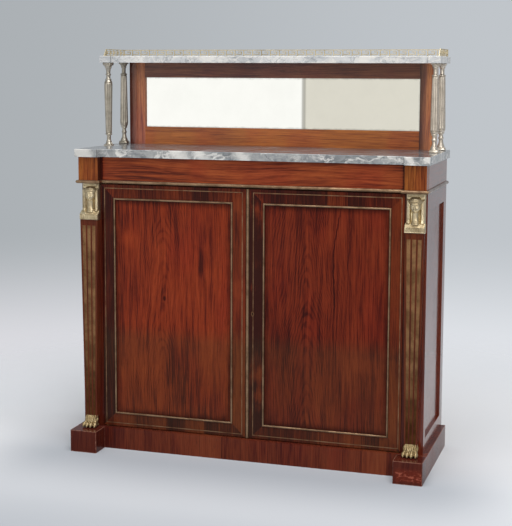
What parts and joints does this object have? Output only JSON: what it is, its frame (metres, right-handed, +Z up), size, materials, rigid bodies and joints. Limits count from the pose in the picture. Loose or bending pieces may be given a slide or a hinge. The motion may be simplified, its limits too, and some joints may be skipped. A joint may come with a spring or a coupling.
{
  "type": "chiffonier",
  "caption": "Breakfront cupboard with hinged doors between term pilasters, a marble top, and a mirror-backed upper shelf on brass columns with a pierced gallery.",
  "frame": {"origin": "middle of the piece at floor level, half way between the back and the faces of the plinth's corner blocks", "axes": "+X to the right of someone facing the doors, +Y to the back, +Z up"},
  "size_m": [1.11, 0.42, 1.254],
  "materials": {
    "rosewood": "French polished",
    "pine": "bare, aged",
    "marble": "polished, grey veins",
    "brass": "aged, satin",
    "gilt_brass": "worn lacquered",
    "mirror": "silvered glass",
    "steel": "aged"
  },
  "bodies": {
    "cabinet": {"back_boards": "pine", "bottom_board": "pine", "brass_astragal": "brass", "column_back_left": "gilt_brass", "column_back_right": "gilt_brass", "column_front_left": "gilt_brass", "column_front_right": "gilt_brass", "dust_board": "pine", "frieze_back": "pine", "frieze_blocks": "rosewood", "frieze_front": "rosewood", "frieze_sides": "rosewood", "front_stiles": "rosewood", "gallery_back": "gilt_brass", "gallery_left": "gilt_brass", "gallery_right": "gilt_brass", "glue_blocks": "pine", "head_mount_left": "gilt_brass", "head_mount_right": "gilt_brass", "hinge_sockets": "brass", "inner_shelf": "pine", "marble_top": "marble", "mirror_backboard": "pine", "mirror_frame": "rosewood", "mirror_glass": "mirror", "paw_foot_left": "gilt_brass", "paw_foot_right": "gilt_brass", "pilaster_flutes_left": "brass", "pilaster_flutes_right": "brass", "pilaster_left": "rosewood", "pilaster_right": "rosewood", "plinth_back": "pine", "plinth_blocks": "rosewood", "plinth_front": "rosewood", "plinth_sides": "rosewood", "shelf_bearers": "pine", "side_frame_left": "rosewood", "side_frame_right": "rosewood", "side_panel_left": "rosewood", "side_panel_right": "rosewood", "upper_shelf": "marble"},
    "left_door": {"bolt_guides": "brass", "door_left_frame": "rosewood", "door_left_moulding": "brass", "door_left_panel": "rosewood", "door_left_pivots": "brass", "door_left_stringing": "brass", "lock_keep": "brass"},
    "right_door": {"door_right_frame": "rosewood", "door_right_moulding": "brass", "door_right_panel": "rosewood", "door_right_pivots": "brass", "door_right_stringing": "brass", "keyhole_escutcheon": "brass", "lock_case": "steel", "meeting_strip": "brass"},
    "top_bolt": {"top_bolt": "steel"},
    "bottom_bolt": {"bottom_bolt": "steel"},
    "lock_bolt": {"lock_bolt": "steel"}
  },
  "joints": [
    {"name": "right_door_hinge", "type": "hinge", "parent": "cabinet", "child": "right_door", "pos_m": [0.4645, -0.122, 0.453], "axis": [0, 0, 1], "range_deg": [0, 95]},
    {"name": "left_door_hinge", "type": "hinge", "parent": "cabinet", "child": "left_door", "pos_m": [-0.4645, -0.122, 0.453], "axis": [0, 0, -1], "range_deg": [0, 95]},
    {"name": "lock_bolt_slide", "type": "slide", "parent": "right_door", "child": "lock_bolt", "axis": [-1, 0, 0], "range_m": [0, 0.009]},
    {"name": "top_bolt_slide", "type": "slide", "parent": "left_door", "child": "top_bolt", "axis": [0, 0, 1], "range_m": [0, 0.01]},
    {"name": "bottom_bolt_slide", "type": "slide", "parent": "left_door", "child": "bottom_bolt", "axis": [0, 0, -1], "range_m": [0, 0.01]}
  ]
}
